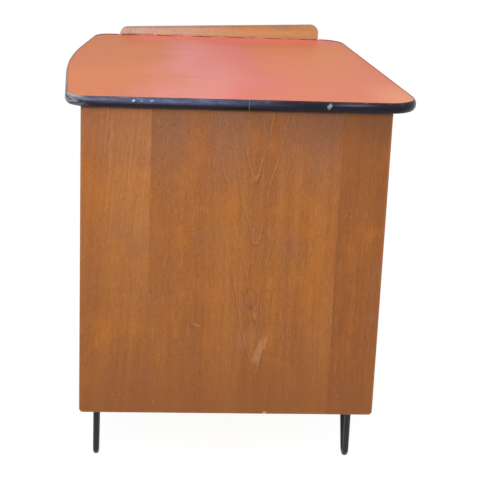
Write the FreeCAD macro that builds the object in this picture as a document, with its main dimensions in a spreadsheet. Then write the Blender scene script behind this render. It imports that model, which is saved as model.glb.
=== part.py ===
# Compact davenport desk: a slab front on hairpin legs, a case with three drawers that open to the right,
# and a laminate-faced writing lid hinged at the foot of a low gallery.
# Axes: +X to the sitter's right, +Y to the back, +Z up, millimetres, floor at zero.
import FreeCAD
import Part
import Sketcher
import math
import os
import re

doc = FreeCAD.newDocument("desk")
sheet = doc.addObject("Spreadsheet::Sheet", "Sizes")

# Driving sizes of the real piece.
SIZES = [
    ("lid_thick", 18),
    ("laminate_thick", 1.2),
    ("desk_depth", 654),
    ("lid_lap_left", 38.8),
    ("lid_lap_right", 52.2),
    ("right_angle", 6.5),
    ("left_angle", 2.5),
    ("bow_angle", 10.4),
    ("bow_at", 291),
    ("bow_radius", 1109),
    ("front_corner_left", 43.5),
    ("front_corner_right", 56.5),
    ("rear_corner_left", 37.5),
    ("rear_corner_right", 50),
    ("crown", 4),
    ("tongue_depth", 8),
    ("tongue_thick", 3),
    ("edging_joint", 18),
    ("joint_gap", 0.3),
    ("panel_half", 284),
    ("panel_thick", 20),
    ("panel_bottom", 146),
    ("panel_corner", 8),
    ("front_overhang", 25),
    ("rim_gap", 0.5),
    ("back_drop", 3),
    ("eased", 1.5),
    ("panel_lap", 22),
    ("board", 16),
    ("bottom_rise", 10),
    ("bottom_thick", 18),
    ("drawer_height", 140),
    ("rail_thick", 16),
    ("rail_depth", 40),
    ("runner_wide", 20),
    ("floor_thick", 10),
    ("well_deep", 115.5),
    ("floor_groove", 5),
    ("drawer_gap", 1),
    ("drawer_side", 11),
    ("drawer_clear", 32),
    ("drawer_ply", 5),
    ("drawer_rise", 7),
    ("drawer_groove", 4),
    ("drawer_back_drop", 12),
    ("knob_radius", 12),
    ("knob_reach", 22),
    ("knob_neck", 6),
    ("knob_flare", 2),
    ("knob_waist", 8),
    ("knob_head", 13),
    ("knob_edge", 3),
    ("spigot_radius", 4),
    ("spigot_length", 12),
    ("gallery_inset_left", 20.5),
    ("gallery_inset_right", 5.3),
    ("gallery_behind", 8),
    ("gallery_thick", 12),
    ("gallery_rise_left", 16.5),
    ("gallery_rise_right", 32.8),
    ("gallery_below", 110),
    ("gallery_corner", 17),
    ("notch_gap", 1),
    ("knuckle_radius", 1.8),
    ("pin_radius", 0.8),
    ("pin_fit", 0.05),
    ("leaf_thick", 0.8),
    ("leaf_height", 14),
    ("leaf_drop", 0.6),
    ("hinge_inset", 3),
    ("knuckle_count", 11),
    ("knuckle_gap", 0.4),
    ("leg_inset", 8),
    ("leg_setback", 108),
    ("leg_setback_rear", 70),
    ("rod_radius", 6),
    ("bend_radius", 17),
    ("leg_splay", 105),
    ("plate_thick", 4),
    ("plate_wide", 50),
    ("plate_long", 132),
    ("plate_lip", 7),
    ("plate_front", 16),
]

# Sizes that follow from the driving ones.
DERIVED = [
    ("case_half", "panel_half - panel_lap"),
    ("lid_left", "panel_half + lid_lap_left"),
    ("lid_right", "panel_half + lid_lap_right"),
    ("case_bottom", "panel_bottom + bottom_rise"),
    ("bay_bottom", "case_bottom + bottom_thick"),
    ("bay_step", "drawer_height + rail_thick"),
    ("bay_top", "bay_bottom + 2 * bay_step + drawer_height"),
    ("well_bottom", "bay_top + floor_thick"),
    ("rim", "well_bottom + well_deep"),
    ("lid_under", "rim + rim_gap"),
    ("lid_top", "lid_under + lid_thick"),
    ("lid_front", "-desk_depth / 2"),
    ("desk_back", "desk_depth / 2"),
    ("lid_back", "desk_back - gallery_behind"),
    ("front_face", "lid_front + front_overhang"),
    ("front_inner", "front_face + panel_thick"),
    ("gallery_face", "desk_back - gallery_thick"),
    ("back_inner", "gallery_face - board"),
    ("inside_half", "case_half - board"),
    ("inside_deep", "back_inner - front_inner"),
    ("drawer_length", "2 * inside_half - drawer_clear"),
    ("runner_length", "inside_half + case_half - rail_depth"),
    ("leg_spread_x", "case_half - leg_inset"),
    ("right_line", "lid_right * cos(right_angle * 1deg) + lid_front * sin(right_angle * 1deg)"),
    ("fr_y", "lid_front + front_corner_right"),
    ("fr_x", "(right_line - front_corner_right - fr_y * sin(right_angle * 1deg)) / cos(right_angle * 1deg)"),
    ("br_y", "lid_back - rear_corner_right"),
    ("br_x", "(right_line - rear_corner_right - br_y * sin(right_angle * 1deg)) / cos(right_angle * 1deg)"),
    ("bow_x", "-lid_left + bow_radius"),
    ("bow_y", "lid_front + bow_at"),
    ("fl_y", "lid_front + front_corner_left"),
    ("fl_reach", "bow_radius - front_corner_left + (fl_y - bow_y) * sin(left_angle * 1deg)"),
    ("fl_x", "bow_x - fl_reach / cos(left_angle * 1deg)"),
    ("bl_y", "lid_back - rear_corner_left"),
    ("bl_reach", "bow_radius - rear_corner_left - (bl_y - bow_y) * sin(bow_angle * 1deg)"),
    ("bl_x", "bow_x - bl_reach / cos(bow_angle * 1deg)"),
    ("gallery_end_left", "-bl_x - gallery_inset_left"),
    ("gallery_end_right", "br_x - gallery_inset_right"),
    ("hinge_y", "gallery_face - knuckle_radius"),
    ("hinge_z", "lid_top + knuckle_radius"),
    ("lid_heel", "hinge_y - knuckle_radius"),
    ("notch_left", "gallery_end_left + notch_gap"),
    ("notch_right", "gallery_end_right + notch_gap"),
    ("leg_front_y", "front_face + leg_setback"),
    ("leg_rear_y", "gallery_face - leg_setback_rear"),
    ("plate_under", "case_bottom - plate_thick"),
    ("frame_shift", "(lid_left - fr_x - front_corner_right) / 2"),
]


def bind(text):
    return re.sub(r"\b(?!cos\b|sin\b|sqrt\b|deg\b)([a-z]\w*)\b", r"Sizes.\1", text)


for row, (alias, value) in enumerate(SIZES, 1):
    sheet.set("A%d" % row, alias)
    sheet.set("B%d" % row, str(value))
    sheet.setAlias("B%d" % row, alias)
doc.recompute()
for row, (alias, formula) in enumerate(DERIVED, len(SIZES) + 2):
    sheet.set("A%d" % row, alias)
    sheet.set("B%d" % row, "=" + formula)
    sheet.setAlias("B%d" % row, alias)
    doc.recompute()


def size(alias):
    return float(sheet.get(alias))


nodes = {}


def place(item, z=None):
    item.setExpression("Placement.Base.x", "Sizes.frame_shift")
    if z:
        item.setExpression("Placement.Base.z", bind(z))
    return item


def box(name, x, y, z, dx, dy, dz):
    item = doc.addObject("Part::Box", name)
    for prop, text in (("Length", dx), ("Width", dy), ("Height", dz)):
        item.setExpression(prop, bind(text))
    item.setExpression("Placement.Base.x", bind("frame_shift + " + x))
    item.setExpression("Placement.Base.y", bind(y))
    item.setExpression("Placement.Base.z", bind(z))
    return item


def cut(name, base, tools):
    for number, tool in enumerate(tools):
        item = doc.addObject("Part::Cut", "%s_cut%d" % (name, number))
        item.Base = base
        item.Tool = tool
        base = item
    return base


def keep(name, item):
    nodes[name] = item
    return item


def solid_group(name, shapes):
    item = doc.addObject("Part::Feature", name)
    item.Shape = Part.makeCompound(shapes)
    place(item)
    return item


def sketch_path(body, name, plane, start, segments, closed):
    # Segments are ("line", end) or ("arc", end, centre, radius, turn); points are pairs of cell formulas.
    sketch = body.newObject("Sketcher::SketchObject", name)
    role = [f for f in body.Origin.OriginFeatures if f.Role == plane][0]
    sketch.AttachmentSupport = [(role, "")]
    sketch.MapMode = "FlatFace"
    here = start
    ends = []
    for segment in segments:
        ends.append((here, segment[1]))
        here = segment[1]
    for index, segment in enumerate(segments):
        (x0, y0), (x1, y1) = [[number(t) for t in p] for p in ends[index]]
        if segment[0] == "line":
            a = FreeCAD.Vector(x0, y0, 0)
            b = FreeCAD.Vector(x1, y1, 0)
            sketch.addGeometry(Part.LineSegment(a, b), False)
        else:
            cx, cy = [number(t) for t in segment[2]]
            ring = Part.Circle(FreeCAD.Vector(cx, cy, 0), FreeCAD.Vector(0, 0, 1), number(segment[3]))
            a = math.atan2(y0 - cy, x0 - cx)
            b = math.atan2(y1 - cy, x1 - cx)
            if segment[4] < 0:
                a, b = b, a
            sketch.addGeometry(Part.ArcOfCircle(ring, a, b if b > a else b + 2 * math.pi), False)
    first = lambda i: 1 if segments[i][0] == "line" or segments[i][4] > 0 else 2
    last = lambda i: 3 - first(i)
    count = len(segments)
    for index in range(count if closed else count - 1):
        after = (index + 1) % count
        sketch.addConstraint(Sketcher.Constraint("Coincident", index, last(index), after, first(after)))
    for index in range(count):
        pin(sketch, index, first(index), ends[index][0])
        if segments[index][0] == "arc":
            row = sketch.addConstraint(Sketcher.Constraint("Radius", index, number(segments[index][3])))
            sketch.setExpression("Constraints[%d]" % row, bind(segments[index][3]))
    if not closed:
        pin(sketch, count - 1, last(count - 1), ends[-1][1])
    return sketch


def pin(sketch, geometry, vertex, point):
    for kind, text in (("DistanceX", point[0]), ("DistanceY", point[1])):
        row = sketch.addConstraint(Sketcher.Constraint(kind, -1, 1, geometry, vertex, number(text)))
        sketch.setExpression("Constraints[%d]" % row, bind(text))


helper = {}


def number(text):
    # The current value of a cell formula, read through a working cell of the sheet.
    if text not in helper:
        cell = "D%d" % (len(helper) + 1)
        sheet.set(cell, "=" + text)
        doc.recompute([sheet])
        helper[text] = float(sheet.get(cell))
    return helper[text]


def body_of(name):
    return doc.addObject("PartDesign::Body", name)


def pad(body, sketch, length, name):
    item = body.newObject("PartDesign::Pad", name)
    item.Profile = sketch
    item.setExpression("Length", bind(length))
    doc.recompute()
    return item


def ease(body, base, chosen, radius="eased"):
    # Rounds the edges that the test on an edge's box picks out.
    item = body.newObject("PartDesign::Fillet", base.Name + "_ease")
    picked = [i for i, edge in enumerate(base.Shape.Edges, 1) if chosen(edge.BoundBox)]
    item.Base = (base, ["Edge%d" % i for i in picked])
    item.setExpression("Radius", bind(radius))
    body.Tip = item
    doc.recompute()
    return item


def around(x, y, radius, angle, side, turn):
    # The point of an arc that faces the given side, turned from it to the back (+1) or the front (-1).
    return ("%s + %d * (%s) * cos(%s * 1deg)" % (x, side, radius, angle),
            "%s + %d * (%s) * sin(%s * 1deg)" % (y, turn, radius, angle))


def offset_outline(inset):
    # The lid's plan, drawn in from its outermost line, with the square notch for the gallery.
    front = "(lid_front + %s)" % inset
    back = "(lid_back - %s)" % inset
    less = lambda radius: "%s - %s" % (radius, inset)
    return {
        "front_left": ("fl_x", front),
        "left_front": around("fl_x", "fl_y", less("front_corner_left"), "left_angle", -1, -1),
        "bow_start": around("bow_x", "bow_y", less("bow_radius"), "left_angle", -1, -1),
        "bow_end": around("bow_x", "bow_y", less("bow_radius"), "bow_angle", -1, 1),
        "left_back": around("bl_x", "bl_y", less("rear_corner_left"), "bow_angle", -1, 1),
        "back_left": ("bl_x", back),
        "notch_left": ("-notch_left", back),
        "notch_left_in": ("-notch_left", "lid_heel"),
        "notch_right_in": ("notch_right", "lid_heel"),
        "notch_right": ("notch_right", back),
        "back_right": ("br_x", back),
        "right_back": around("br_x", "br_y", less("rear_corner_right"), "right_angle", 1, 1),
        "right_front": around("fr_x", "fr_y", less("front_corner_right"), "right_angle", 1, 1),
        "front_right": ("fr_x", front),
        "front": front,
    }


def left_run(p, inset):
    return [
        ("line", p["front_left"]),
        ("arc", p["left_front"], ("fl_x", "fl_y"), "front_corner_left - " + inset, -1),
        ("line", p["bow_start"]),
        ("arc", p["bow_end"], ("bow_x", "bow_y"), "bow_radius - " + inset, -1),
        ("line", p["left_back"]),
        ("arc", p["back_left"], ("bl_x", "bl_y"), "rear_corner_left - " + inset, -1),
        ("line", p["notch_left"]),
    ]


def right_run(p, inset):
    return [
        ("line", p["front_right"]),
        ("arc", p["right_front"], ("fr_x", "fr_y"), "front_corner_right - " + inset, 1),
        ("line", p["right_back"]),
        ("arc", p["back_right"], ("br_x", "br_y"), "rear_corner_right - " + inset, 1),
        ("line", p["notch_right"]),
    ]


def lid_sheet(name, bottom, thick):
    p = offset_outline("crown")
    body = body_of(name)
    run = left_run(p, "crown")
    run += [("line", p["notch_left_in"]), ("line", p["notch_right_in"]), ("line", p["notch_right"])]
    run += [
        ("line", p["back_right"]),
        ("arc", p["right_back"], ("br_x", "br_y"), "rear_corner_right - crown", -1),
        ("line", p["right_front"]),
        ("arc", p["front_right"], ("fr_x", "fr_y"), "front_corner_right - crown", -1),
    ]
    plan = sketch_path(body, name + "_plan", "XY_Plane", p["front_right"], run, True)
    pad(body, plan, thick, name + "_pad")
    place(body, bottom)
    return body


def run_wire(start, segments):
    # The same run of lines and arcs as an edge path at the lid's underside.
    edges = []
    here = [number(t) for t in start]
    for segment in segments:
        there = [number(t) for t in segment[1]]
        a = FreeCAD.Vector(here[0], here[1], 0)
        b = FreeCAD.Vector(there[0], there[1], 0)
        if segment[0] == "line":
            edges.append(Part.LineSegment(a, b).toShape())
        else:
            centre = FreeCAD.Vector(number(segment[2][0]), number(segment[2][1]), 0)
            middle = (a - centre) + (b - centre)
            middle.normalize()
            edges.append(Part.Arc(a, centre + middle * number(segment[3]), b).toShape())
        here = there
    return Part.Wire(edges)


def edging_section(x, inner, low, high, crowned):
    # A section across the front edge: flat back with a tongue, and a crowned face where it shows.
    back = size("lid_front") + size("crown")
    middle = size("lid_thick") / 2
    half = size("tongue_thick") / 2
    point = lambda y, z: FreeCAD.Vector(x, y, z)
    if not crowned:
        corners = [point(back, middle - half), point(inner, middle - half)]
        corners += [point(inner, middle + half), point(back, middle + half)]
        return Part.makePolygon(corners + [corners[0]])
    corners = [point(back, low), point(back, middle - half), point(inner, middle - half)]
    corners += [point(inner, middle + half), point(back, middle + half), point(back, high)]
    arc = Part.Arc(corners[-1], point(size("lid_front"), middle), corners[0])
    return Part.Wire(Part.makePolygon(corners).Edges + [arc.toShape()])


# Front: a plain veneered slab, wider than the case behind it, with its lower corners eased.
front = body_of("front_panel")
slab = sketch_path(
    front, "front_panel_outline", "XZ_Plane",
    ("-panel_half", "rim"),
    [
        ("line", ("-panel_half", "panel_bottom + panel_corner")),
        ("arc", ("-panel_half + panel_corner", "panel_bottom"),
         ("-panel_half + panel_corner", "panel_bottom + panel_corner"), "panel_corner", 1),
        ("line", ("panel_half - panel_corner", "panel_bottom")),
        ("arc", ("panel_half", "panel_bottom + panel_corner"),
         ("panel_half - panel_corner", "panel_bottom + panel_corner"), "panel_corner", 1),
        ("line", ("panel_half", "rim")),
        ("line", ("-panel_half", "rim")),
    ],
    True,
)
front_pad = pad(front, slab, "panel_thick", "front_panel_pad")
panel_middle = -size("panel_thick") / 2
ease(front, front_pad, lambda span: span.YMax < panel_middle and span.ZMin < size("rim") - 1)
place(front)
front.setExpression("Placement.Base.y", bind("front_inner"))

# Case boards behind the front: the floor of the well is let into the front, the left side and the back.
well_floor = box(
    "well_floor_board", "-inside_half - floor_groove", "front_inner - floor_groove", "bay_top",
    "2 * inside_half + floor_groove", "inside_deep + 2 * floor_groove", "floor_thick",
)
keep("front_panel", cut("front_panel", front, [well_floor]))
keep("well_floor", well_floor)
left_side = box(
    "left_side_board", "-case_half", "front_inner", "case_bottom",
    "board", "inside_deep", "rim - case_bottom",
)
keep("left_side_panel", cut("left_side_panel", left_side, [well_floor]))
keep("well_right_wall", box(
    "well_right_wall_board", "inside_half", "front_inner", "bay_top", "board", "inside_deep", "rim - bay_top",
))
back = box(
    "back_board", "-case_half", "back_inner", "case_bottom",
    "2 * case_half", "board", "rim - back_drop - case_bottom",
)
keep("back_panel", cut("back_panel", back, [well_floor]))
keep("bottom_board", box(
    "bottom_case_board", "-inside_half", "front_inner", "case_bottom",
    "inside_half + case_half", "inside_deep", "bottom_thick",
))
for level, label in ((1, "lower"), (2, "upper")):
    keep("drawer_rail_" + label, box(
        "rail_%s_board" % label, "case_half - rail_depth", "front_inner",
        "bay_bottom + %d * bay_step - rail_thick" % level, "rail_depth", "inside_deep", "rail_thick",
    ))
for wall, at in (("front", "front_inner"), ("rear", "back_inner - runner_wide")):
    for level, label in ((1, "lower"), (2, "upper")):
        keep("runner_%s_%s" % (label, wall), box(
            "runner_%s_%s_strip" % (label, wall), "case_half - rail_depth - runner_length", at,
            "bay_bottom + %d * bay_step - rail_thick" % level, "runner_length", "runner_wide", "rail_thick",
        ))

# Gallery: a solid board on the back, its top edge rising to the right and its upper corners rounded.
gallery = body_of("gallery")
gallery_foot = "lid_top - gallery_below"
outline = sketch_path(
    gallery, "gallery_outline", "XZ_Plane",
    ("-gallery_end_left", gallery_foot),
    [
        ("line", ("gallery_end_right", gallery_foot)),
        ("line", ("gallery_end_right", "lid_top + gallery_rise_right")),
        ("line", ("-gallery_end_left", "lid_top + gallery_rise_left")),
        ("line", ("-gallery_end_left", gallery_foot)),
    ],
    True,
)
gallery_pad = pad(gallery, outline, "gallery_thick", "gallery_pad")
gallery_ends = ease(
    gallery, gallery_pad, lambda span: span.YLength > 1 and span.ZMin > size("lid_top"), "gallery_corner")
ease(gallery, gallery_ends, lambda span: span.YLength < 0.01 and span.ZMin > size("lid_top") - 1)
place(gallery)
gallery.setExpression("Placement.Base.y", bind("desk_back"))
keep("gallery_board", gallery)

# Piano hinge: two leaves with alternate knuckles on one pin, the knuckle standing just above the lid.
axis_y = size("hinge_y")
axis_z = size("hinge_z")
hinge_start = size("hinge_inset") - size("gallery_end_left")
hinge_long = size("gallery_end_right") - size("hinge_inset") - hinge_start
step = hinge_long / size("knuckle_count")
lug = size("knuckle_radius")
leaf = size("leaf_thick")
leaf_high = size("lid_top") - size("leaf_drop")
leaf_low = leaf_high - size("leaf_height")


def hinge_leaf(side, first, bore):
    # Side is +1 for the leaf on the gallery and -1 for the leaf on the lid.
    near = axis_y + side * lug - (leaf if side > 0 else 0)
    corner = FreeCAD.Vector(hinge_start, near, leaf_low)
    plate = Part.makeBox(hinge_long, leaf, leaf_high - leaf_low, corner)
    shapes = []
    for slot in range(first, int(size("knuckle_count")), 2):
        x = hinge_start + slot * step + size("knuckle_gap") / 2
        wide = step - size("knuckle_gap")
        tube = Part.makeCylinder(lug, wide, FreeCAD.Vector(x, axis_y, axis_z), FreeCAD.Vector(1, 0, 0))
        tab = Part.makeBox(wide, leaf, axis_z - leaf_high, FreeCAD.Vector(x, near, leaf_high))
        hole = Part.makeCylinder(bore, wide, FreeCAD.Vector(x, axis_y, axis_z), FreeCAD.Vector(1, 0, 0))
        shapes.append(tube.fuse(tab).cut(hole))
    return plate.fuse(shapes).removeSplitter()


keep("hinge_leaf_gallery", solid_group("hinge_leaf_gallery", [hinge_leaf(1, 0, size("pin_radius"))]))
loose_bore = size("pin_radius") + size("pin_fit")
keep("hinge_leaf_lid", solid_group("hinge_leaf_lid", [hinge_leaf(-1, 1, loose_bore)]))
pin_start = FreeCAD.Vector(hinge_start, axis_y, axis_z)
keep("hinge_pin", solid_group("hinge_pin_rod", [
    Part.makeCylinder(size("pin_radius"), hinge_long, pin_start, FreeCAD.Vector(1, 0, 0)),
]))

# Lid: a core board between the red laminate and its backing sheet, with an edging tongued into the edge.
core = lid_sheet("lid_core_board", "lid_under + laminate_thick", "lid_thick - 2 * laminate_thick")
keep("lid_laminate", lid_sheet("lid_laminate", "lid_top - laminate_thick", "laminate_thick"))
keep("lid_backing", lid_sheet("lid_backing", "lid_under", "laminate_thick"))
plan_line = offset_outline("crown")
tongue_in = size("lid_front") + size("crown") + size("tongue_depth")
for side, run, start in (("left", left_run, 0), ("right", right_run, 1)):
    x = size("edging_joint") + start * size("joint_gap")
    begin = ("edging_joint + %d * joint_gap" % start, plan_line["front"])
    path = run_wire(begin, run(plan_line, "crown"))
    section = edging_section(x, tongue_in, 0, size("lid_thick"), True)
    strip = path.makePipeShell([section], True, False)
    strip = Part.Solid(strip) if strip.ShapeType != "Solid" else strip
    item = solid_group("lid_edging_" + side, [strip])
    item.setExpression("Placement.Base.z", bind("lid_under"))
    keep("lid_edging_" + side, item)
doc.recompute()
keep("lid_core", cut("lid_core", core, [nodes["lid_edging_left"], nodes["lid_edging_right"]]))

# Hairpin legs: one bent rod each, welded under a plate that is screwed to the case bottom.
for end, at, turn in (("front", "leg_front_y", 1), ("rear", "leg_rear_y", -1)):
    for side, sign in (("left", -1), ("right", 1)):
        x = sign * size("leg_spread_x")
        y = size(at)
        top = size("plate_under")
        bend = size("bend_radius")
        centre = FreeCAD.Vector(x, y + turn * bend, bend + size("rod_radius"))
        peak = FreeCAD.Vector(x, y + turn * size("leg_splay"), top)
        away = peak - centre
        lean = math.atan2(away.z, turn * away.y) - math.acos(bend / away.Length)
        spoke = lambda angle: FreeCAD.Vector(0, turn * math.cos(angle), math.sin(angle))
        bent = lambda angle: centre + spoke(angle) * bend
        bow = Part.Arc(bent(math.pi), bent((lean - math.pi) / 2), bent(lean))
        path = Part.Wire([
            Part.LineSegment(FreeCAD.Vector(x, y, top), bent(math.pi)).toShape(),
            bow.toShape(),
            Part.LineSegment(bent(lean), peak + (peak - bent(lean)) * 0.04).toShape(),
        ])
        ring = Part.Wire(Part.Circle(
            FreeCAD.Vector(x, y, top), FreeCAD.Vector(0, 0, 1), size("rod_radius")).toShape())
        rod = path.makePipeShell([ring], True, False)
        reach = size("plate_long")
        above = Part.makeBox(reach, 2 * reach, reach, FreeCAD.Vector(x - reach / 2, y - reach, top))
        keep("leg_%s_%s" % (end, side), solid_group("leg_rod_%s_%s" % (end, side), [rod.cut(above)]))
        outer = "leg_spread_x + plate_lip"
        plate_x = outer + " - plate_wide" if sign > 0 else "-(%s)" % outer
        plate_y = at + (" - plate_front" if turn > 0 else " + plate_front - plate_long")
        keep("leg_plate_%s_%s" % (end, side), box(
            "leg_plate_%s_%s" % (end, side), plate_x, plate_y, "plate_under",
            "plate_wide", "plate_long", "plate_thick",
        ))

# Drawers: an inset front, two sides and a back round a bottom let into grooves, and a turned knob.
face_x = size("case_half")


def knob_turning(base):
    # A turned knob: a spigot for the drawer front, a foot drawn in to a neck, and a head with a broken edge.
    reach = size("knob_reach")
    neck = size("knob_neck")
    wide = size("knob_radius")
    edge = size("knob_edge")
    spigot = size("spigot_radius")
    depth = size("spigot_length")
    outline = [(-depth, 0), (-depth, spigot), (0, spigot), (0, neck + size("knob_flare"))]
    outline += [(size("knob_waist"), neck), (size("knob_head"), wide), (reach - edge, wide)]
    outline += [(reach, wide - edge), (reach, 0), (-depth, 0)]
    profile = Part.Face(Part.makePolygon([FreeCAD.Vector(radius, 0, along) for along, radius in outline]))
    solid = profile.revolve(FreeCAD.Vector(0, 0, 0), FreeCAD.Vector(0, 0, 1), 360)
    turn = FreeCAD.Rotation(FreeCAD.Vector(0, 0, 1), FreeCAD.Vector(1, 0, 0))
    solid.Placement = FreeCAD.Placement(FreeCAD.Vector(*base), turn)
    return solid


for level, label in ((0, "bottom"), (1, "middle"), (2, "top")):
    low = "bay_bottom + %d * bay_step + drawer_gap / 2" % level
    tall = "drawer_height - 2 * drawer_gap"
    near = "front_inner + drawer_gap"
    far = "back_inner - drawer_gap"
    wide = "%s - (%s)" % (far, near)
    name = "drawer_%s" % label
    knob_z = number(low) + number(tall) / 2
    knob_y = (size("front_inner") + size("back_inner")) / 2
    base = box(
        name + "_ply", "inside_half - drawer_length", near + " + drawer_side - drawer_groove",
        low + " + drawer_rise", "drawer_length + drawer_groove",
        wide + " - 2 * drawer_side + 2 * drawer_groove", "drawer_ply",
    )
    keep(name + "_bottom", base)
    knob = solid_group(name + "_knob", [knob_turning((face_x, knob_y, knob_z))])
    keep(name + "_knob", knob)
    front_board = box(name + "_front_board", "inside_half", near, low, "board", wide, tall)
    doc.recompute()
    rounded = doc.addObject("Part::Fillet", name + "_front_eased")
    rounded.Base = front_board
    outside = number("frame_shift + case_half - board / 2")
    outer_edges = [i for i, e in enumerate(front_board.Shape.Edges, 1) if e.BoundBox.XMin > outside]
    rounded.Edges = [(i, size("eased"), size("eased")) for i in outer_edges]
    keep(name + "_front", cut(name + "_front", rounded, [base, knob]))
    for wall, at in (("near", near), ("far", far + " - drawer_side")):
        side = box(
            "%s_side_%s_board" % (name, wall), "inside_half - drawer_length", at, low,
            "drawer_length", "drawer_side", tall,
        )
        keep("%s_side_%s" % (name, wall), cut("%s_side_%s" % (name, wall), side, [base]))
    keep(name + "_back", box(
        name + "_back_board", "inside_half - drawer_length", near + " + drawer_side",
        low + " + drawer_rise + drawer_ply", "drawer_side",
        wide + " - 2 * drawer_side",
        tall + " - drawer_rise - drawer_ply - drawer_back_drop",
    ))

doc.recompute()
faulty = [item.Name for item in doc.Objects if "Invalid" in item.State or "Error" in item.State]
if faulty:
    raise RuntimeError("objects in error: " + ", ".join(faulty))
os.makedirs("parts", exist_ok=True)
for name, item in sorted(nodes.items()):
    shape = item.Shape
    if shape.isNull() or not shape.isValid() or shape.Volume <= 0:
        raise RuntimeError("shape fault in " + name)
    shape.exportStep("parts/%s.step" % name)
print(len(nodes), "nodes written")
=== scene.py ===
import math
import bpy
from mathutils import Matrix, Vector


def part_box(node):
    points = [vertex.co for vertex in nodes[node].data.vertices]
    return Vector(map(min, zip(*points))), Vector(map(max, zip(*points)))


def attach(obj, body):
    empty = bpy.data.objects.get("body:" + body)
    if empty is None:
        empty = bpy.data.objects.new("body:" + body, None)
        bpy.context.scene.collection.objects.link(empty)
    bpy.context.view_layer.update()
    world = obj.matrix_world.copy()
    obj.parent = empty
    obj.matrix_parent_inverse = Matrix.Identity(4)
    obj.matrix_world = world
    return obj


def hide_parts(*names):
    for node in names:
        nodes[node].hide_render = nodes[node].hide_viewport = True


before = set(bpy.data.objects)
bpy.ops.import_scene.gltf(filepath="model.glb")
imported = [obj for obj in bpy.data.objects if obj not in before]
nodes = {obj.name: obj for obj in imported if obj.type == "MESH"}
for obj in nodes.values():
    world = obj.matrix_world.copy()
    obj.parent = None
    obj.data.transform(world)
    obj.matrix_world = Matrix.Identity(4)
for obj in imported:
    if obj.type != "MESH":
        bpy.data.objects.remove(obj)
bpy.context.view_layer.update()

# Front: a flat blockboard slab faced with three leaves of reddish-brown veneer, oiled to a satin finish.
# The middle leaf is crown cut, so its figure hangs in long Vs; the outer two are straight grained.
# It is glued and dowelled to the case behind it, with its lower corners rounded and its edges eased.


class Shade:
    # One socket of a finish's node tree. Sums and products of sockets add Math nodes to the tree.
    def __init__(self, tree, socket=None):
        self.tree = tree
        self.socket = socket

    def node(self, kind, settings, sockets, output=0):
        made = self.tree.nodes.new("ShaderNode" + kind)
        for name, value in settings.items():
            if name == "stops":
                for place, tone in value[1:-1]:
                    made.color_ramp.elements.new(place)
                for element, (place, tone) in zip(made.color_ramp.elements, value):
                    element.position = place
                    element.color = tone
            else:
                setattr(made, name, value)

        def pick(choices, key):
            if isinstance(key, int):
                return choices[key]
            return next(choice for choice in choices if choice.name == key and choice.enabled)

        for name, value in sockets.items():
            if isinstance(value, Shade):
                self.tree.links.new(value.socket, pick(made.inputs, name))
            else:
                pick(made.inputs, name).default_value = value
        return Shade(self.tree, pick(made.outputs, output))

    def math(self, operation, *values):
        return self.node("Math", {"operation": operation}, dict(enumerate(values)))

    def __add__(self, other):
        return self.math("ADD", self, other)

    def __sub__(self, other):
        return self.math("SUBTRACT", self, other)

    def __rsub__(self, other):
        return self.math("SUBTRACT", other, self)

    def __mul__(self, other):
        return self.math("MULTIPLY", self, other)

    def __truediv__(self, other):
        return self.math("DIVIDE", self, other)

    __radd__ = __add__
    __rmul__ = __mul__

    def size(self):
        return self.math("ABSOLUTE", self)

    def over(self, other):
        return self.math("GREATER_THAN", self, other)

    def least(self, other):
        return self.math("MINIMUM", self, other)

    def most(self, other):
        return self.math("MAXIMUM", self, other)

    def band(self, low, high):
        # Rises smoothly from 0 at low to 1 at high, or falls where low is the larger.
        if low > high:
            return 1 - self.band(high, low)
        settings = {"interpolation_type": "SMOOTHSTEP"}
        return self.node("MapRange", settings, {"Value": self, "From Min": low, "From Max": high})

    def stretch(self, across, through, along):
        return self.node("VectorMath", {"operation": "MULTIPLY"}, {0: self, 1: (across, through, along)})

    def speckle(self, scale=1.0, detail=2.0, rough=0.5):
        sockets = {"Vector": self, "Scale": scale, "Detail": detail, "Roughness": rough}
        return self.node("TexNoise", {}, sockets)

    def toward(self, other, amount, blend="MIX"):
        settings = {"data_type": "RGBA", "blend_type": blend}
        return self.node("Mix", settings, {"Factor": amount, "A": self, "B": other}, "Result")

    def axes(self):
        parts = self.node("SeparateXYZ", {}, {"Vector": self}).socket.node.outputs
        return [Shade(self.tree, part) for part in parts]

    def point(self, x, y, z):
        return self.node("CombineXYZ", {}, {"X": x, "Y": y, "Z": z})

    def place(self):
        return self.node("TexCoord", {}, {}, "Object")

    def ramp(self, *stops):
        return self.node("ValToRGB", {"stops": stops}, {"Fac": self}, "Color")

    def bump(self, strength, depth):
        return self.node("Bump", {}, {"Strength": strength, "Distance": depth, "Height": self}, "Normal")

    def into(self, socket):
        self.tree.links.new(self.socket, socket)


def new_finish(name, **settled):
    # A finish and its shader, with the values that are the same all over set on the shader itself.
    finish = bpy.data.materials.new(name)
    finish.use_nodes = True
    shader = finish.node_tree.nodes["Principled BSDF"]
    for socket, value in settled.items():
        shader.inputs[socket.replace("_", " ")].default_value = value
    return finish, Shade(finish.node_tree), shader.inputs


def paint(red, green, blue):
    # A colour as a paint chart gives it, out of 255, for a shader.
    tone = [part / 255 for part in (red, green, blue)]
    return [part / 12.92 if part < 0.04 else ((part + 0.055) / 1.055) ** 2.4 for part in tone] + [1.0]


def dress(node, finish):
    for held in nodes[node].material_slots:
        held.material = finish


def from_edge(place, low, high):
    # How far a point on a board's skin is from the nearest of the board's edges.
    gaps = []
    for part, start, end in zip(place.axes(), low, high):
        gaps.append((end - start) / 2 - (part - (start + end) / 2).size())
    first, second, third = gaps
    return first.most(second).least(second.most(third)).least(first.most(third))


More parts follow.
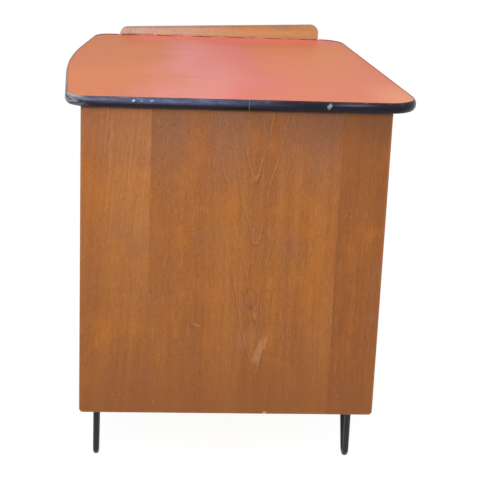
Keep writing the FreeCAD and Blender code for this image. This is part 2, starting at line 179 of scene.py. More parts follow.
def mark(x, z, centre, half, lean=0.0):
    # A soft oval on an upright face: 1 at its centre, falling to 0 at its edge.
    aside = (x - centre[0] - (z - centre[1]) * lean) / half[0]
    up = (z - centre[1]) / half[1]
    return (aside * aside + up * up).band(1.0, 0.15)


panel_low, panel_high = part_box("front_panel")
panel_left, panel_right = panel_low.x, panel_high.x
panel_foot, panel_top = panel_low.z, panel_high.z
panel_face = panel_low.y
left_joint = panel_left + 0.128
right_joint = panel_left + 0.478
crown_line = panel_left + 0.318
crown_lean = 0.03
crown_slope = 4.8
crown_soft = 0.007
ring_step = 0.128
fine_rings = 5
leaf_across = 2.7
leaf_along = 1.3
first_tip = panel_top - 0.125 - crown_soft * crown_slope
knot_places = (
    ((panel_left + 0.320, panel_top - 0.368), (0.016, 0.026)),
    ((panel_left + 0.351, panel_top - 0.362), (0.016, 0.014)),
    ((panel_left + 0.333, panel_top - 0.404), (0.010, 0.020)),
)
scuff_place = (panel_left + 0.344, panel_top - 0.473)
smear_place = (panel_left + 0.326, panel_top - 0.452)
chip_place = (panel_left + 0.356, panel_foot)
nick_place = (panel_left + 0.221, panel_top - 0.4225)

finish, shade, skin = new_finish("front_veneer", Specular_IOR_Level=0.3)
place = shade.place()
x, y, z = place.axes()
in_middle = x.over(left_joint)
in_right = x.over(right_joint)
leaf = in_middle + in_right
crown_leaf = in_middle - in_right
wander = place.stretch(5, 5, 1.6).speckle()
lean = (wander - 0.5) * 0.02 + (1 - in_middle) * (z - panel_foot) * -0.06
flow = shade.point(x + lean + leaf * leaf_across, y, z + leaf * leaf_along)
streaks = flow.stretch(120, 120, 3).speckle(1, 4, 0.6)
bands = flow.stretch(24, 24, 0.7).speckle()
broad = flow.stretch(7, 7, 2.5).speckle()
fibres = flow.stretch(520, 520, 30).speckle(1, 3, 0.65)
pores = flow.stretch(900, 900, 80).speckle(1, 1)
blotch = place.stretch(17, 17, 11).speckle(1, 2)
grit = place.speckle(430, 2, 0.7)

first_knot, second_knot, third_knot = [mark(x, z, *knot) for knot in knot_places]
knots = first_knot.most(second_knot).most(third_knot)
from_crown = x - crown_line - (panel_top - z) * crown_lean
spread = shade.math("SQRT", from_crown * from_crown + crown_soft * crown_soft)
ripple = place.stretch(34, 34, 20).speckle(1, 3) - 0.5
drift = place.stretch(9, 9, 5).speckle() - 0.5
crown = z - spread * crown_slope + ripple * 0.06 + drift * 0.14 + knots * ripple * 0.25
growth = shade.math("FRACT", (crown - first_tip) / ring_step)
late = growth.band(0.8, 0.975) * growth.band(1.0, 0.98)
early = growth.band(0.14, 0.0)
fine = shade.math("FRACT", crown / (ring_step / fine_rings)).band(0.5, 0.95)
in_crown = spread.band(0.12, 0.015) * crown_leaf * blotch.band(0.35, 0.6)
ground = streaks.band(0.3, 0.7) * 0.32 + bands.band(0.25, 0.75) * 0.33 + broad.band(0.25, 0.75) * 0.35

wood = ground.ramp((0.15, paint(145, 83, 30)), (0.5, paint(160, 94, 36)), (0.85, paint(174, 106, 43)))
pale_leaf = (1 - in_middle) * x.band(panel_left + 0.02, panel_left + 0.085) * z.band(0.2, 0.62)
wood = wood.toward(paint(182, 120, 64), pale_leaf * 0.4)
left_margin = x.band(panel_left + 0.05, panel_left)
wood = wood.toward(paint(164, 94, 46), left_margin * 0.3)
dark_side = x.band(left_joint + 0.17, left_joint + 0.03) * in_middle
wood = wood.toward(paint(146, 82, 34), dark_side * 0.4)
right_leaf = in_right * (0.6 + bands.band(0.35, 0.6) * 0.4)
wood = wood.toward(paint(232, 222, 214), right_leaf, "MULTIPLY")
wood = wood.toward(paint(148, 93, 56), blotch.band(0.5, 0.72) * 0.5)
wood = wood.toward(paint(178, 104, 34), blotch.band(0.48, 0.28) * 0.5)
first = z.band(panel_top - 0.18, panel_top - 0.11)
wood = wood.toward(paint(118, 66, 32), (late * (0.35 + first * 0.25) + fine * 0.12) * in_crown)
wood = wood.toward(paint(194, 130, 74), early * in_crown * (0.28 + first * 0.4))
# Painted sheen and shade: the top of the middle leaf is painted greyer and mauve, under the lid.
painted_sheen_and_shade = z.band(panel_top - 0.2, panel_top - 0.02) * crown_leaf * bands.band(0.2, 0.6)
wood = wood.toward(paint(136, 90, 70), painted_sheen_and_shade * 0.65)
# Painted sheen: the outer leaves are painted pinker and paler near the top.
painted_top_sheen = z.band(panel_top - 0.12, panel_top - 0.03) * (1 - in_middle) * blotch.band(0.3, 0.5)
wood = wood.toward(paint(166, 102, 72), painted_top_sheen * 0.45)
eyes = shade.math("FRACT", knots * 2.4 + ripple * 1.6).band(0.55, 0.95) * knots.band(0.05, 0.4)
wood = wood.toward(paint(104, 60, 36), eyes * 0.65)
fanned = shade.point(x - z * 0.09, y, z).stretch(240, 240, 7).speckle(1, 4, 0.65)
fanned = fanned.band(0.45, 0.65) * (1 - in_middle) * x.band(panel_left + 0.02, panel_left + 0.06)
fanned = fanned * z.band(panel_top - 0.34, panel_top - 0.12)
wood = wood.toward(paint(200, 134, 88), fanned * 0.34)
wood = wood.toward(paint(112, 62, 28), pores.band(0.55, 0.7) * (0.38 + in_middle * 0.06))
wood = wood.toward(paint(200, 140, 84), fibres.band(0.55, 0.72) * 0.4)
wood = wood.toward(paint(208, 148, 86), grit.band(0.55, 0.7) * (0.32 - in_right * 0.1))
wood = wood.toward(paint(106, 58, 24), grit.band(0.45, 0.3) * (0.34 - in_right * 0.12))
# The panel is painted darker towards its foot.
darker_foot = z.band(panel_foot + 0.17, panel_foot)
wood = wood.toward(paint(140, 82, 38), darker_foot * 0.65)
# Painted shadow of the lid's overhang: darker across the top of the face, more so towards the right.
painted_lid_shadow = z.band(panel_top - 0.1, panel_top - 0.02) * x.band(crown_line - 0.1, panel_right)
wood = wood.toward(paint(104, 62, 38), painted_lid_shadow * 0.45)
# Painted shadow: a soft dark line on the face just below the lid's edge, kept clear of the top arris.
painted_shadow_line = z.band(panel_top - 0.0084, panel_top - 0.0064) * z.band(panel_top - 0.001, panel_top - 0.005)
painted_shadow_line = painted_shadow_line * y.band(panel_face + 0.004, panel_face + 0.001) * (0.45 + blotch.band(0.35, 0.6) * 0.25)
wood = wood.toward(paint(50, 32, 26), painted_shadow_line)
browned_right = in_right * z.band(panel_top - 0.3, panel_top - 0.05)
wood = wood.toward(paint(126, 74, 38), browned_right * 0.35)
rubbed = from_edge(place, panel_low, panel_high).band(0.005, 0.0005) * broad.band(0.35, 0.6)
wood = wood.toward(paint(184, 126, 76), rubbed * 0.4)
scuff = mark(x + ripple * 0.06, z + ripple * 0.05, scuff_place, (0.014, 0.037), 0.25)
scuff = scuff * scuff * (0.3 + fibres.band(0.3, 0.7) * 0.7)
smear = mark(x + ripple * 0.04, z + ripple * 0.04, smear_place, (0.034, 0.024))
smear = smear * blotch.band(0.4, 0.6) * 0.08
chip = mark(x + ripple * 0.01, z, chip_place, (0.005, 0.007), 0.5)
nick = mark(x, z + (x - nick_place[0]) * 0.5, nick_place, (0.007, 0.002)) * grit.band(0.4, 0.6) * 0.8
specks = place.stretch(150, 150, 90).speckle(1, 1).band(0.72, 0.77)
specks = specks * z.band(panel_foot + 0.16, panel_foot)
chip = chip.most(nick).most(specks * 0.18)
wood = wood.toward(paint(206, 154, 112), (scuff * 0.5).most(smear))
wood = wood.toward(paint(222, 182, 140), chip * 0.7)
wood.into(skin["Base Color"])
(0.46 - fibres * 0.12 + pores.band(0.6, 0.72) * 0.15 + scuff * 0.2).into(skin["Roughness"])
(fibres + grit * 0.5 - pores.band(0.58, 0.72) * 0.8).bump(0.2, 0.0003).into(skin["Normal"])
dress("front_panel", finish)

# Case: the left side, the back, the wall over the drawers and the rails between them, glued up as a box.
# They are blockboard and solid lipping under the same brown veneer, straight grained and plainer.


def planed_wood(board, slot, along, dark, light, fleck=0.5):
    # A board's own length of plain sawn wood, with its grain along one axis and its edges rubbed pale.
    low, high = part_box(board)
    finish, shade, skin = new_finish(slot + "_" + board, Specular_IOR_Level=0.3)
    place = shade.place()
    x, y, z = place.axes()
    across, through, length = {"X": (y, z, x), "Y": (z, x, y), "Z": (x, y, z)}[along]
    shift = 3.1 * low.x + 4.7 * low.y + 7.3 * low.z
    flow = shade.point(across + shift, through + shift, length + shift)
    wander = flow.stretch(4, 4, 1.3).speckle() - 0.5
    flow = shade.point(across + shift + wander * 0.03, through + wander * 0.02, length + shift)
    streaks = flow.stretch(80, 80, 1.7).speckle(1, 4, 0.6)
    bands = flow.stretch(19, 19, 0.8).speckle()
    fibres = flow.stretch(420, 420, 9).speckle(1, 3, 0.6)
    pores = flow.stretch(800, 800, 45).speckle(1, 1).band(0.6, 0.72)
    ground = streaks.band(0.3, 0.7) * 0.55 + bands.band(0.25, 0.75) * 0.45
    wood = ground.ramp((0.1, paint(*dark)), (0.9, paint(*light)))
    pore_tone = [part * 0.62 for part in dark]
    wood = wood.toward(paint(*pore_tone), pores * fleck)
    edge = from_edge(place, low, high)
    rubbed = edge.band(0.004, 0.0005) * bands.band(0.35, 0.55)
    rubbed_tone = [min(255, part * 1.12) for part in light]
    wood = wood.toward(paint(*rubbed_tone), rubbed * 0.5)
    wood.into(skin["Base Color"])
    (0.5 - fibres * 0.14 + pores * 0.12).into(skin["Roughness"])
    (fibres - pores * 0.8).bump(0.2, 0.0003).into(skin["Normal"])
    dress(board, finish)
    return shade, skin, wood


for board, along in (
    ("left_side_panel", "Z"), ("back_panel", "Z"), ("well_right_wall", "Y"),
    ("drawer_rail_lower", "Y"), ("drawer_rail_upper", "Y"),
):
    planed_wood(board, "case_veneer", along, (138, 82, 40), (172, 110, 60))

# Inside of the case: the floor of the well and the case bottom are let in and glued, in a paler wood.
# The drawers run on strips of beech screwed to the front and the back, waxed where they rub.
inner_dark, inner_light = (176, 136, 90), (206, 168, 120)
shade, skin, wood = planed_wood("bottom_board", "inner_wood", "Y", inner_dark, inner_light, 0.25)
bottom_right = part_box("bottom_board")[1].x
lipping = shade.place().axes()[0].over(bottom_right - 0.0005)
wood.toward(paint(170, 108, 66), lipping, "MULTIPLY").into(skin["Base Color"])
planed_wood("well_floor", "inner_wood", "Y", inner_dark, inner_light, 0.25)
beech_dark, beech_light = (188, 140, 92), (214, 170, 122)
for level in ("lower", "upper"):
    for wall in ("front", "rear"):
        runner = "runner_%s_%s" % (level, wall)
        planed_wood(runner, "runner_beech", "X", beech_dark, beech_light, 0.4)

# Legs: each is one steel rod bent back on itself into a hairpin and welded under a steel plate.
# Rod and plate are painted satin black, rubbed thin at the bend that stands on the floor,
# and the plate is held to the case bottom by round-headed screws.
finish, shade, skin = new_finish("black_steel", Specular_IOR_Level=0.35)
place = shade.place()
x, y, z = place.axes()
mottle = place.speckle(38, 3)
peel = place.speckle(900, 2)
chipped = place.speckle(160, 3, 0.65).band(0.62, 0.68) * 0.5
scraped = z.band(0.016, 0.001) * place.speckle(220, 3).band(0.4, 0.6)
bare = chipped.most(scraped)
paint_black = mottle.ramp((0.3, paint(24, 22, 23)), (0.7, paint(38, 36, 37)))
paint_black.toward(paint(112, 110, 108), bare * 0.7).into(skin["Base Color"])
(bare * 0.6).into(skin["Metallic"])
(0.34 + mottle * 0.2 + bare * 0.1).into(skin["Roughness"])
(peel - bare * 0.6).bump(0.12, 0.0003).into(skin["Normal"])
black_steel = finish


def fresh():
    # Operators act on all that is selected, so each piece starts with nothing selected.
    bpy.ops.object.select_all(action="DESELECT")


def choose(piece, test):
    # Selects in edit mode the points that pass a test on their place.
    for part in (piece.data.vertices, piece.data.edges, piece.data.polygons):
        part.foreach_set("select", [False] * len(part))
    for vertex in piece.data.vertices:
        vertex.select = test(vertex.co)
    bpy.ops.object.mode_set(mode="EDIT")
    bpy.ops.mesh.select_mode(type="VERT")


def work_in(piece, kind, **settings):
    # Adds one modifier to the piece and applies it.
    added = piece.modifiers.new(kind.lower(), kind)
    for name, value in settings.items():
        setattr(added, name, value)
    bpy.context.view_layer.objects.active = piece
    bpy.ops.object.modifier_apply(modifier=added.name)


soft_bend = math.radians(40)


def slotted_head(name, radius, rise):
    # A screw's head, lying on the ground plane: a disc with its rim rounded over and a slot sawn across.
    rim_round = min(radius * 0.6, rise * 0.8)
    slot_wide = radius * 0.28
    fresh()
    bpy.ops.mesh.primitive_cylinder_add(vertices=24, radius=radius, depth=rise)
    head = bpy.context.object
    head.name = name
    head.data.transform(Matrix.Translation((0, 0, rise / 2)))
    choose(head, lambda co: co.z > rise / 2)
    bpy.ops.mesh.bevel(offset=rim_round, segments=4, affect="EDGES")
    bpy.ops.object.mode_set(mode="OBJECT")
    fresh()
    bpy.ops.mesh.primitive_cube_add(size=1)
    saw = bpy.context.object
    blade = Matrix.Diagonal((3 * radius, slot_wide, rise, 1))
    saw.data.transform(Matrix.Translation((0, 0, rise)) @ blade)
    work_in(head, "BOOLEAN", operation="DIFFERENCE", object=saw, solver="EXACT")
    bpy.data.objects.remove(saw)
    head.select_set(True)
    bpy.ops.object.shade_smooth_by_angle(angle=soft_bend)
    return head


def seat_copies(pattern, name, seats, body, finish):
    # Copies a piece to its seats, each given by its point, the way it faces and its turn, as one set.
    fresh()
    for point, facing, turn in seats:
        copy = pattern.copy()
        copy.data = pattern.data.copy()
        bpy.context.scene.collection.objects.link(copy)
        aim = Vector(facing).to_track_quat("Z", "Y").to_matrix().to_4x4()
        copy.data.transform(Matrix.Translation(point) @ aim @ Matrix.Rotation(turn, 4, "Z"))
        copy.select_set(True)
        bpy.context.view_layer.objects.active = copy
    if len(seats) > 1:
        bpy.ops.object.join()
    joined = bpy.context.object
    joined.name = name
    joined.data.materials.clear()
    joined.data.materials.append(finish)
    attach(joined, body)
    return joined


rod = 0.006
bead_ring = 0.0068
bead_thick = 0.0017
fresh()
bpy.ops.mesh.primitive_torus_add(
    major_segments=36, minor_segments=10, major_radius=bead_ring, minor_radius=bead_thick)
bead = bpy.context.object
ripples = bpy.data.textures.new("weld_ripples", "CLOUDS")
ripples.noise_scale = 0.0022
work_in(bead, "DISPLACE", texture=ripples, strength=0.0009, mid_level=0.5)
bead.select_set(True)
bpy.ops.object.shade_smooth()
plate_screw = slotted_head("plate_screw", 0.0042, 0.0026)
turn_step = 2.4
plate_margin = 0.011
downward = (0, 0, -1)
for end in ("front", "rear"):
    for side in ("left", "right"):
        leg = "leg_%s_%s" % (end, side)
        plate = "leg_plate_%s_%s" % (end, side)
        dress(leg, black_steel)
        dress(plate, black_steel)
        leg_low, leg_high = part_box(leg)
        plate_low, plate_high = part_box(plate)
        middle = (leg_low.x + leg_high.x) / 2
        welds = [
            ((middle, leg_low.y + rod, plate_low.z), downward, 0.0),
            ((middle, leg_high.y - rod, plate_low.z), downward, turn_step),
        ]
        seat_copies(bead, "weld_%s_%s" % (end, side), welds, "case", black_steel)
        inner, outer = plate_high.x - plate_margin, plate_low.x + plate_margin
        if side == "right":
            inner, outer = plate_low.x + plate_margin, plate_high.x - plate_margin
        centre = (plate_low.y + plate_high.y) / 2
        seats = [
            ((inner, plate_low.y + plate_margin, plate_low.z), downward, turn_step),
            ((inner, plate_high.y - plate_margin, plate_low.z), downward, 2 * turn_step),
            ((outer, centre, plate_low.z), downward, 3 * turn_step),
        ]
        screws = "plate_screws_%s_%s" % (end, side)
        seat_copies(plate_screw, screws, seats, "case", black_steel)
bpy.data.objects.remove(bead)
bpy.data.objects.remove(plate_screw)

# Drawers: three of a size, open to the sitter's right. The front is veneered to match the case,
# the sides and back are a paler solid wood round a plywood bottom slid into grooves.
# Each has one turned knob in black lacquer, its spigot glued into the front.
finish, shade, skin = new_finish("black_lacquer", Specular_IOR_Level=0.5, Coat_Roughness=0.12)
place = shade.place()
dust = place.speckle(240, 3)
handled = place.speckle(70, 2)
dust.ramp((0.35, paint(16, 15, 16)), (0.75, paint(34, 31, 30))).into(skin["Base Color"])
(0.2 + handled * 0.25).into(skin["Roughness"])
(0.35 * handled).into(skin["Coat Weight"])
dust.bump(0.05, 0.0002).into(skin["Normal"])
black_lacquer = finish

millimetre = 0.001
hair = millimetre / 100
spigot_end = -12.0
knob_outline = (
    (0.0, spigot_end), (4.0, spigot_end), (4.0, 0.0), (8.0, 0.0), (7.7, 1.2), (6.5, 3.4),
    (6.0, 6.0), (6.4, 8.6), (7.9, 10.9), (10.3, 12.6), (11.6, 14.4), (12.0, 16.4),
    (11.6, 18.5), (10.2, 20.2), (7.6, 21.3), (4.0, 21.9), (0.0, 22.0),
)
fresh()
bpy.ops.mesh.primitive_plane_add(size=millimetre)
turning = bpy.context.object
bpy.ops.object.mode_set(mode="EDIT")
bpy.ops.mesh.select_all(action="SELECT")
bpy.ops.mesh.merge(type="CENTER")
here = Vector((0, 0, 0))
for radius, rise in knob_outline:
    there = Vector((radius, 0, rise)) * millimetre
    bpy.ops.mesh.extrude_region_move(TRANSFORM_OT_translate={"value": there - here})
    here = there
bpy.ops.mesh.select_all(action="SELECT")
bpy.ops.mesh.spin(steps=48, angle=2 * math.pi, center=(0, 0, 0), axis=(0, 0, 1))
bpy.ops.mesh.select_all(action="SELECT")
bpy.ops.mesh.remove_doubles(threshold=hair)
bpy.ops.mesh.normals_make_consistent(inside=False)
bpy.ops.object.mode_set(mode="OBJECT")
bpy.ops.object.shade_smooth_by_angle(angle=soft_bend)

for level in ("bottom", "middle", "top"):
    drawer = "drawer_" + level
    planed_wood(drawer + "_front", "case_veneer", "Y", (140, 84, 42), (176, 114, 64))
    for board, along in (("side_near", "X"), ("side_far", "X"), ("back", "Y"), ("bottom", "Y")):
        planed_wood(drawer + "_" + board, "inner_wood", along, (182, 142, 96), (214, 178, 130), 0.25)
    knob = drawer + "_knob"
    knob_low, knob_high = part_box(knob)
    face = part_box(drawer + "_front")[1].x
    seat = (face, (knob_low.y + knob_high.y) / 2, (knob_low.z + knob_high.z) / 2)
    seats = [(seat, (1, 0, 0), 0.0)]
    turned = seat_copies(turning, "turned_" + knob, seats, drawer, black_lacquer)
    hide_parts(knob)
bpy.data.objects.remove(turning)

# Gallery: a solid board of lighter wood with its grain level, screwed to the back of the case.
# Its top edge climbs to the right, its upper corners are rounded, and it was jointed from two lengths.
finish, shade, skin = new_finish("hinge_brass", Metallic=0.5)
place = shade.place()
tarnish = place.speckle(55, 4, 0.6)
brushed = place.stretch(30, 900, 900).speckle(1, 2)
brass = tarnish.ramp((0.3, paint(150, 104, 70)), (0.6, paint(190, 140, 96)), (0.8, paint(208, 164, 116)))
brass.into(skin["Base Color"])
(0.42 + tarnish * 0.2 + brushed * 0.1).into(skin["Roughness"])
brushed.bump(0.08, 0.0002).into(skin["Normal"])
hinge_brass = finish

gallery_low, gallery_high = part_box("gallery_board")
gallery_climb = 0.0163
gallery_joint = gallery_low.x + 0.248
shade, skin, wood = planed_wood("gallery_board", "gallery_wood", "X", (184, 134, 90), (208, 163, 117), 0.3)
x, y, z = shade.place().axes()
joint = (x - gallery_joint).size().band(0.0012, 0.0004)
wood = wood.toward(paint(150, 100, 60), joint * 0.6)
streaky = shade.place().stretch(20, 160, 160).speckle(1, 3)
greyed = x.band(gallery_low.x + 0.3, gallery_low.x + 0.02) * (0.5 + streaky.band(0.3, 0.6) * 0.45)
blotches = shade.place().stretch(16, 40, 40).speckle(1, 2)
yellowed = x.band(gallery_low.x + 0.16, gallery_low.x + 0.3) * blotches.band(0.3, 0.65)
wood = wood.toward(paint(204, 148, 82), yellowed * 0.4)
wood = wood.toward(paint(178, 124, 88), blotches.band(0.5, 0.3) * 0.35)
wood = wood.toward(paint(212, 184, 170), greyed)
scraped = streaky.band(0.62, 0.72) * x.band(gallery_low.x + 0.2, gallery_low.x + 0.05)
wood = wood.toward(paint(150, 108, 84), scraped * 0.5)
specks = shade.place().speckle(230, 3, 0.75)
wood = wood.toward(paint(232, 204, 182), specks.band(0.55, 0.7) * (0.15 + greyed * 0.4))
wood = wood.toward(paint(138, 96, 70), specks.band(0.45, 0.3) * (0.2 + greyed * 0.4))
lean = (gallery_high.x - x) * (gallery_climb / (gallery_high.x - gallery_low.x))
rim = (gallery_high.z - lean - z).band(0.0035, 0.0005)
wood.toward(paint(142, 104, 82), rim * 0.55).into(skin["Base Color"])

head_rise = 0.0008
gallery_screw = slotted_head("gallery_screw", 0.004, head_rise)
rows = ((0.018, 10), (0.045, 7))
seats = []
for share in (0.1, 0.37, 0.63, 0.9):
    across = gallery_low.x + share * (gallery_high.x - gallery_low.x)
    for height, turns in rows:
        seat = (across, gallery_high.y - head_rise, gallery_low.z + height)
        seats.append((seat, (0, 1, 0), turn_step * share * turns))
seat_copies(gallery_screw, "gallery_screws", seats, "case", hinge_brass)
bpy.data.objects.remove(gallery_screw)

# Piano hinge: two folded brass leaves with alternate knuckles on one pin, the width of the gallery.
# One leaf is screwed to the gallery and the other to the back edge of the lid.
for part in ("hinge_leaf_gallery", "hinge_leaf_lid", "hinge_pin"):
    dress(part, hinge_brass)
leaf_thick = 0.0008
screw_height = 0.008
screw_count = 7
leaf_screw = slotted_head("leaf_screw", 0.0026, 0.0006)
for leaf, body, facing in (("gallery", "case", -1), ("lid", "lid", 1)):
    leaf_low, leaf_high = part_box("hinge_leaf_" + leaf)
    plate_face = leaf_high.y - leaf_thick if facing < 0 else leaf_low.y + leaf_thick
    seats = []
    for number in range(screw_count):
        across = leaf_low.x + (number + 0.5) / screw_count * (leaf_high.x - leaf_low.x)
        seat = (across, plate_face, leaf_low.z + screw_height)
        seats.append((seat, (0, facing, 0), turn_step * number))
    seat_copies(leaf_screw, "hinge_screws_" + leaf, seats, body, hinge_brass)
bpy.data.objects.remove(leaf_screw)

# Lid: a blockboard core faced above with red decorative laminate and below with a brown backing sheet.
# The laminate's colour runs in uneven bands, partly faded and partly painted reflection, with a pale pink
# painted reflection in the middle; it is finely scratched by use.
lid_low, lid_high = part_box("lid_laminate")
finish, shade, skin = new_finish("red_laminate", Specular_IOR_Level=0.06)
place = shade.place()
x, y, z = place.axes()
cloud = place.stretch(4, 4, 4).speckle(1, 3)
band_wobble = place.stretch(5, 3.2, 1).speckle(1, 3)
# Painted reflection: a pale pink band down the middle of the laminate.
painted_sheen_band = (x + 0.085 + (band_wobble - 0.5) * 0.3).size().band(0.13, 0.0)
redder = (x - 0.005 + (band_wobble - 0.5) * 0.3).size().band(0.13, 0.0)
ochre = (x - 0.16 + (band_wobble - 0.5) * 0.3).size().band(0.12, 0.0) * y.band(lid_low.y + 0.1, lid_low.y + 0.4)
ochre = ochre * y.band(lid_high.y - 0.03, lid_high.y - 0.12)
orange_left_zone = x.band(-0.16, -0.26) * y.band(lid_low.y + 0.25, lid_low.y + 0.5)
pale_right_front_zone = x.band(0.22, 0.3) * y.band(lid_low.y + 0.22, lid_low.y + 0.06)
deeper = x.band(0.1, 0.24) * y.band(lid_low.y + 0.1, lid_low.y + 0.45)
brushed = place.stretch(7, 90, 1).speckle(1, 3, 0.6)
# Painted reflection of the gallery: the laminate is redder and paler in front of its foot.
painted_gallery_reflection = y.band(gallery_low.y - 0.09, gallery_low.y - 0.005)
painted_gallery_reflection = painted_gallery_reflection * x.band(gallery_low.x - 0.02, gallery_low.x + 0.06)
painted_gallery_reflection = painted_gallery_reflection * x.band(gallery_high.x + 0.02, gallery_high.x - 0.02)
scratch_a = place.stretch(14, 700, 1).speckle(1, 2).band(0.66, 0.72)
scratch_b = place.stretch(600, 22, 1).speckle(1, 2).band(0.68, 0.74)
scratches = scratch_a.most(scratch_b) * cloud.band(0.4, 0.7)
red = cloud.ramp((0.3, paint(215, 121, 71)), (0.7, paint(229, 131, 78)))
red = red.toward(paint(231, 128, 95), x.band(-0.02, 0.12) * 0.9)
red = red.toward(paint(235, 121, 109), redder * 0.9)
red = red.toward(paint(237, 142, 132), painted_sheen_band * 0.9)
red = red.toward(paint(231, 121, 87), deeper * 0.7)
red = red.toward(paint(233, 135, 77), ochre * 0.8)
red = red.toward(paint(199, 105, 81), brushed.band(0.5, 0.25) * 0.16)
red = red.toward(paint(247, 157, 130), brushed.band(0.5, 0.75) * 0.12)
red = red.toward(paint(215, 122, 65), orange_left_zone * 0.5)
red = red.toward(paint(239, 157, 120), pale_right_front_zone * 0.8)
red = red.toward(paint(255, 133, 122), painted_gallery_reflection * 0.85)
red = red.toward(paint(239, 167, 138), scratches * 0.25)
# The laminate is painted dark along its front margin, next to the edging.
dark_front_margin = y.band(lid_low.y + 0.0045, lid_low.y + 0.001)
red = red.toward(paint(92, 40, 38), dark_front_margin * 0.75)
red.into(skin["Base Color"])
(0.36 + cloud * 0.1 + scratches * 0.15).into(skin["Roughness"])
(place.speckle(700, 2) - scratches).bump(0.04, 0.0002).into(skin["Normal"])
dress("lid_laminate", finish)

finish, shade, skin = new_finish("backing_sheet", Specular_IOR_Level=0.3)
place = shade.place()
kraft = place.speckle(30, 4, 0.6)
weave = place.speckle(500, 2)
kraft.ramp((0.3, paint(150, 116, 82)), (0.7, paint(176, 142, 106))).into(skin["Base Color"])
(0.6 + weave * 0.15).into(skin["Roughness"])
weave.bump(0.1, 0.0002).into(skin["Normal"])
dress("lid_backing", finish)
planed_wood("lid_core", "core_board", "X", (184, 144, 98), (212, 176, 128), 0.3)

# Edging: a black plastic strip with a crowned face and narrow lips, its tongue pressed into a groove
# round the core. It comes in two lengths that butt near the middle of the front;
# knocks have left pale chips in it, and the left front corner has been rubbed grey.
blue_sheen = (0.82, 0.82, 1.0, 1.0)
finish, shade, skin = new_finish("black_edging", Specular_IOR_Level=0.24, Specular_Tint=blue_sheen)
place = shade.place()
x, y, z = place.axes()
edging_low, edging_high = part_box("lid_edging_left")
lip_above = 0.0012
lip_below = 0.0004
strip_top = edging_high.z + lip_above
mottle = place.stretch(18, 18, 60).speckle(1, 3)
scuffed = place.stretch(60, 60, 240).speckle(1, 4, 0.65)
top_line = z.band(strip_top - 0.006, strip_top - 0.001)
black = mottle.ramp((0.3, paint(9, 7, 13)), (0.7, paint(18, 15, 25)))
# Painted reflection of the red laminate: a thin dark red line along the top of the strip.
black = black.toward(paint(74, 38, 42), z.band(strip_top - 0.003, strip_top - 0.0005) * 0.7)
# Painted shade, dark brown, along the lower edge of the strip.
black = black.toward(paint(34, 24, 24), z.band(edging_low.z + 0.006, edging_low.z + 0.001) * 0.6)
knocks = (
    (0.134, 0.0050, 0.0036, 0.0026, 0.85), (0.148, 0.0055, 0.0030, 0.0012, 0.45),
    (0.167, 0.0045, 0.0050, 0.0016, 0.55), (0.486, 0.0070, 0.0050, 0.0070, 0.5),
)
ragged = place.speckle(420, 3, 0.75) - 0.5
facing = y.band(edging_low.y + 0.02, edging_low.y + 0.01)
chips = ragged * 0
for along, below, half_wide, half_high, paleness in knocks:
    spot = (edging_low.x + along, edging_high.z - below)
    blow = mark(x + ragged * 0.006, z + ragged * 0.004, spot, (half_wide, half_high), 0.4)
    torn = ((blow + ragged * 5 - 0.45).band(0.0, 0.7) * blow.band(0.0, 0.3)).most(blow * 0.3)
    chips = chips.most(torn * paleness)
chips = chips * facing
# Painted highlight with some wear: a pale blue-grey band across the upper face of the strip's left half.
highlight_and_wear = (x + 0.12).size().band(0.26, 0.04) * z.band(edging_low.z + 0.005, edging_low.z + 0.013)
black = black.toward(paint(98, 104, 132), highlight_and_wear * (0.5 + scuffed.band(0.35, 0.65) * 0.45) * facing)
seam = (x - edging_high.x).size().band(0.0012, 0.0003) * facing
corner = x.band(edging_low.x + 0.06, edging_low.x + 0.02) * y.band(edging_low.y + 0.05, edging_low.y + 0.02)
worn = (corner * scuffed.band(0.35, 0.62) * 0.6).most(top_line * scuffed.band(0.56, 0.68) * 0.14)
worn = worn.most(corner * top_line * 0.9).most(seam * 0.3)
black = black.toward(paint(196, 198, 206), worn)
black.toward(paint(230, 231, 240), chips).into(skin["Base Color"])
(0.24 + mottle * 0.1 + worn * 0.3 + chips * 0.2).into(skin["Roughness"])
(mottle * 0.4 - chips - worn * 0.4).bump(0.15, 0.0004).into(skin["Normal"])
black_edging = finish

tongue_reach = 0.002
for side in ("left", "right"):
    strip_node = "lid_edging_" + side
    strip_low, strip_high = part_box(strip_node)
    level = (strip_low.z + strip_high.z) / 2
    tall = strip_high.z - strip_low.z
    fresh()
    strip = bpy.data.objects.new("lipped_edging_" + side, nodes[strip_node].data.copy())
    bpy.context.scene.collection.objects.link(strip)
    strip.select_set(True)
    bpy.context.view_layer.objects.active = strip
    choose(strip, lambda co: True)
    bpy.ops.mesh.remove_doubles(threshold=hair)
    bpy.ops.object.mode_set(mode="OBJECT")
    for lip, test in (
        (lip_above, lambda co: co.z > level + tongue_reach),
        (lip_below, lambda co: co.z < level - tongue_reach),
    ):
        choose(strip, test)
        bpy.ops.transform.resize(value=(1, 1, 1 + 2 * lip / tall), center_override=(0, 0, level))
        bpy.ops.object.mode_set(mode="OBJECT")
    bpy.ops.object.shade_smooth_by_angle(angle=soft_bend)
    strip.data.materials.clear()
    strip.data.materials.append(black_edging)
    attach(strip, "lid")
    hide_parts(strip_node)

# Room: a plain pale floor under soft light, seen from a little above and to the left of the front.
# The floor and the world show white to the camera and in reflections, and the floor keeps the shadow.
scene = bpy.context.scene
scene.view_settings.view_transform = "Standard"


def shown(shade):
    # 1 for what the camera sees, straight or in a reflection, and 0 for the light that falls on things.
    kinds = ("Is Camera Ray", "Is Glossy Ray", "Is Transmission Ray")
    first, second, third = [shade.node("LightPath", {}, {}, kind) for kind in kinds]
    return first.most(second).most(third)


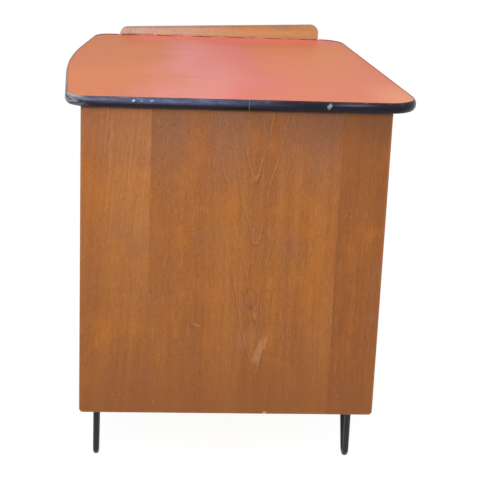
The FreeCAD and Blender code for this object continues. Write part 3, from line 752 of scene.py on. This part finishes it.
fresh()
floor_wide = 24
bpy.ops.mesh.primitive_plane_add(size=floor_wide)
floor = bpy.context.object
floor.name = "floor"
finish = bpy.data.materials.new("pale_floor")
finish.use_nodes = True
finish.node_tree.nodes.clear()
shade = Shade(finish.node_tree)
matt = shade.node("BsdfDiffuse", {}, {"Color": (0.8, 0.8, 0.8, 1)})
faint = shade.node("BsdfDiffuse", {}, {"Color": (0.18, 0.18, 0.18, 1)})
glow = shade.node("Emission", {}, {"Strength": 0.93})
white = shade.node("AddShader", {}, {0: faint, 1: glow})
out = shade.node("MixShader", {}, {0: shown(shade), 1: matt, 2: white})
sink = finish.node_tree.nodes.new("ShaderNodeOutputMaterial")
out.into(sink.inputs["Surface"])
floor.data.materials.append(finish)

world = bpy.data.worlds.new("room")
scene.world = world
world.use_nodes = True
world.node_tree.nodes.clear()
shade = Shade(world.node_tree)
soft = shade.node("Background", {}, {"Color": (0.94, 0.97, 1.0, 1), "Strength": 0.38})
white = shade.node("Background", {}, {"Color": (1, 1, 1, 1), "Strength": 1.0})
out = shade.node("MixShader", {}, {0: shown(shade), 1: soft, 2: white})
sink = world.node_tree.nodes.new("ShaderNodeOutputWorld")
out.into(sink.inputs["Surface"])

look_at = Vector((0, 0, 0.5))
for name, stand, watts, wide, high in (
    ("top_lamp", (-0.3, -1.2, 3.1), 26, 1.6, 1.2),
    ("key_lamp", (-0.35, -2.75, 1.85), 36, 0.9, 1.1),
    ("fill_lamp", (2.4, -1.8, 1.8), 8, 2.0, 2.0),
):
    lamp = bpy.data.lights.new(name, "AREA")
    lamp.energy = watts
    lamp.shape = "RECTANGLE"
    lamp.size = wide
    lamp.size_y = high
    stood = bpy.data.objects.new(name, lamp)
    stood.location = stand
    stood.rotation_euler = (look_at - Vector(stand)).to_track_quat("-Z", "Y").to_euler()
    scene.collection.objects.link(stood)

camera_stand = (-0.1784, -2.8789, 1.3326)
camera_yaw = -0.0728
camera_pitch = -0.3118
camera_roll = -0.0406
sensor_wide = 36
lens_length = 109.28
lens = bpy.data.cameras.new("camera")
lens.sensor_width = sensor_wide
lens.lens = lens_length
camera = bpy.data.objects.new("camera", lens)
level = Matrix.Rotation(math.pi / 2, 4, "X")
turned = Matrix.Rotation(camera_yaw, 4, "Z") @ Matrix.Rotation(camera_pitch, 4, "X")
turned = turned @ Matrix.Rotation(camera_roll, 4, "Y")
camera.matrix_world = Matrix.Translation(camera_stand) @ turned @ level
scene.collection.objects.link(camera)
scene.camera = camera
